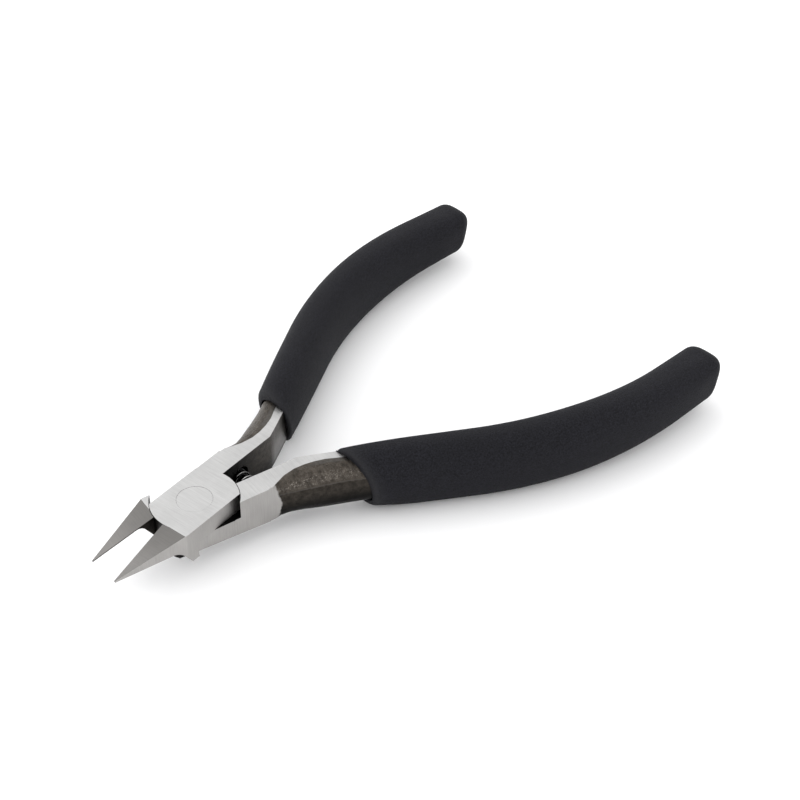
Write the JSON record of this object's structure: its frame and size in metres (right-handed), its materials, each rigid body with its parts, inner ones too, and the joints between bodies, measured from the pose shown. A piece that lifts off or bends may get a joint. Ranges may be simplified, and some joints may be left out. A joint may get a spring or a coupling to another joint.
{
  "type": "sprue nippers",
  "caption": "Hand nippers for cutting plastic sprue, with slim pointed jaws, a lap-jointed steel head, a return spring between the arms and soft bowed handle sleeves.",
  "frame": {"origin": "on the pivot axis, in the ground flat underside of the head", "axes": "+X from the pivot towards the jaw tips, +Y towards the side that the upper lever's jaw is on, +Z along the pivot axis, up through the head's upper face"},
  "size_m": [0.1199, 0.0788, 0.0141],
  "materials": {
    "lever_steel": "ground steel head, black oxide left on the forged arms",
    "rivet_steel": "ground flush with the head",
    "spring_steel": "drawn spring wire",
    "sleeve_vinyl": "matte soft vinyl with a fine grain"
  },
  "bodies": {
    "upper_half": {"upper_lever": "lever_steel", "upper_grip": "sleeve_vinyl", "return_spring": "spring_steel"},
    "lower_half": {"lower_lever": "lever_steel", "lower_grip": "sleeve_vinyl", "pivot_rivet": "rivet_steel"}
  },
  "joints": [
    {"name": "pivot", "type": "hinge", "parent": "upper_half", "child": "lower_half", "pos_m": [0, 0, 0.0042], "axis": [0, 0, 1], "range_deg": [0, 17.8], "stiffness_Nm_per_rad": 0.6, "deforming": ["return_spring"]}
  ]
}
